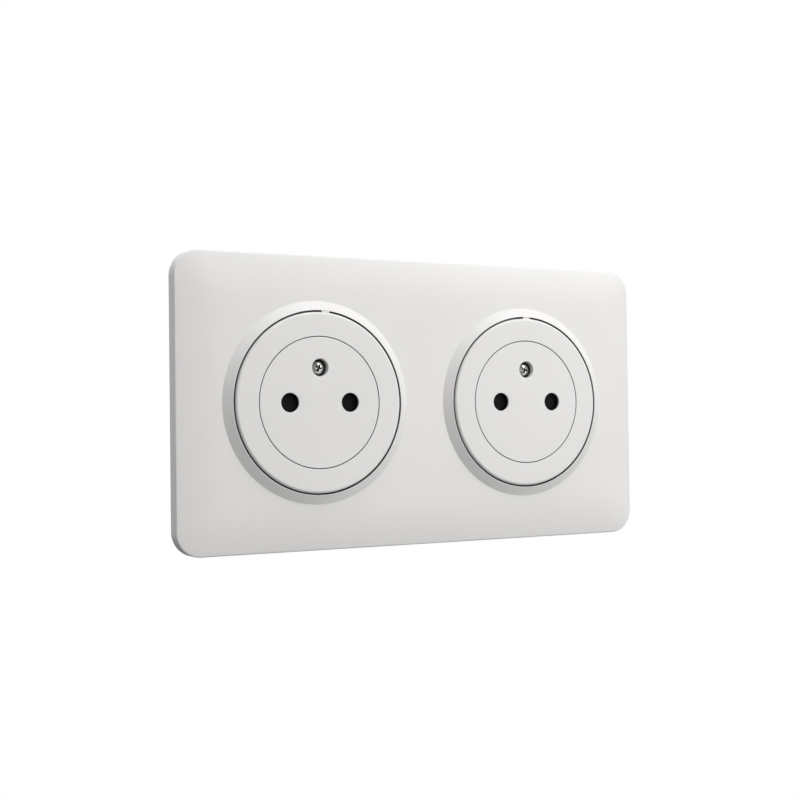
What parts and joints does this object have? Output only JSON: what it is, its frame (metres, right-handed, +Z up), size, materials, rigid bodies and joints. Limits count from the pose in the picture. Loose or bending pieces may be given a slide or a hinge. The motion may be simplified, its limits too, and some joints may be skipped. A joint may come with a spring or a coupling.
{
  "type": "double wall socket",
  "caption": "Flush wall socket: a crowned cover plate over round two-pin modules with shutters, metal support frames and rear push-in terminals.",
  "frame": {"origin": "middle of the cover plate's back plane, on the wall", "axes": "+X to the right along the plate, +Y into the wall, +Z up"},
  "size_m": [0.156, 0.033, 0.085],
  "materials": {
    "plate_plastic": "satin white",
    "module_plastic": "satin white",
    "insulator": "matte dark grey",
    "shutter_plastic": "matte black",
    "button_plastic": "matte orange",
    "frame_steel": "zinc-plated",
    "spring_steel": "bright",
    "screw_steel": "nickel-plated",
    "brass": "bare brass"
  },
  "bodies": {
    "socket": {"cover_plate": "plate_plastic", "left_support_frame": "frame_steel", "left_base_housing": "insulator", "left_rear_cover": "insulator", "left_front_cover": "insulator", "left_housing_screws": "screw_steel", "left_shutter_spring": "spring_steel", "left_trim_ring": "module_plastic", "left_face_insert": "module_plastic", "left_face_screw": "screw_steel", "left_face_screw_insert": "brass", "left_line_contact": "brass", "left_line_contact_spring": "spring_steel", "left_line_clamp_spring": "spring_steel", "left_neutral_contact": "brass", "left_neutral_contact_spring": "spring_steel", "left_neutral_clamp_spring": "spring_steel", "right_support_frame": "frame_steel", "right_base_housing": "insulator", "right_rear_cover": "insulator", "right_front_cover": "insulator", "right_housing_screws": "screw_steel", "right_shutter_spring": "spring_steel", "right_trim_ring": "module_plastic", "right_face_insert": "module_plastic", "right_face_screw": "screw_steel", "right_face_screw_insert": "brass", "right_line_contact": "brass", "right_line_contact_spring": "spring_steel", "right_line_clamp_spring": "spring_steel", "right_neutral_contact": "brass", "right_neutral_contact_spring": "spring_steel", "right_neutral_clamp_spring": "spring_steel"},
    "left_shutter": {"left_shutter": "shutter_plastic"},
    "left_line_release_button": {"left_line_release_button": "button_plastic"},
    "left_neutral_release_button": {"left_neutral_release_button": "button_plastic"},
    "right_shutter": {"right_shutter": "shutter_plastic"},
    "right_line_release_button": {"right_line_release_button": "button_plastic"},
    "right_neutral_release_button": {"right_neutral_release_button": "button_plastic"}
  },
  "joints": [
    {"name": "left_shutter_turn", "type": "hinge", "parent": "socket", "child": "left_shutter", "pos_m": [-0.0355, -0.0048, 0], "axis": [0, -1, 0], "range_deg": [0, 38], "stiffness_Nm_per_rad": 0.002, "springref_deg": -17.19, "deforming": ["left_shutter_spring"]},
    {"name": "left_line_release_press", "type": "slide", "parent": "socket", "child": "left_line_release_button", "axis": [0, -1, 0], "range_m": [0, 0.0015], "stiffness_N_per_m": 2000, "springref_m": -0.0005, "deforming": ["left_line_clamp_spring"]},
    {"name": "left_neutral_release_press", "type": "slide", "parent": "socket", "child": "left_neutral_release_button", "axis": [0, -1, 0], "range_m": [0, 0.0015], "stiffness_N_per_m": 2000, "springref_m": -0.0005, "deforming": ["left_neutral_clamp_spring"]},
    {"name": "right_shutter_turn", "type": "hinge", "parent": "socket", "child": "right_shutter", "pos_m": [0.0355, -0.0048, 0], "axis": [0, -1, 0], "range_deg": [0, 38], "stiffness_Nm_per_rad": 0.002, "springref_deg": -17.19, "deforming": ["right_shutter_spring"]},
    {"name": "right_line_release_press", "type": "slide", "parent": "socket", "child": "right_line_release_button", "axis": [0, -1, 0], "range_m": [0, 0.0015], "stiffness_N_per_m": 2000, "springref_m": -0.0005, "deforming": ["right_line_clamp_spring"]},
    {"name": "right_neutral_release_press", "type": "slide", "parent": "socket", "child": "right_neutral_release_button", "axis": [0, -1, 0], "range_m": [0, 0.0015], "stiffness_N_per_m": 2000, "springref_m": -0.0005, "deforming": ["right_neutral_clamp_spring"]}
  ]
}
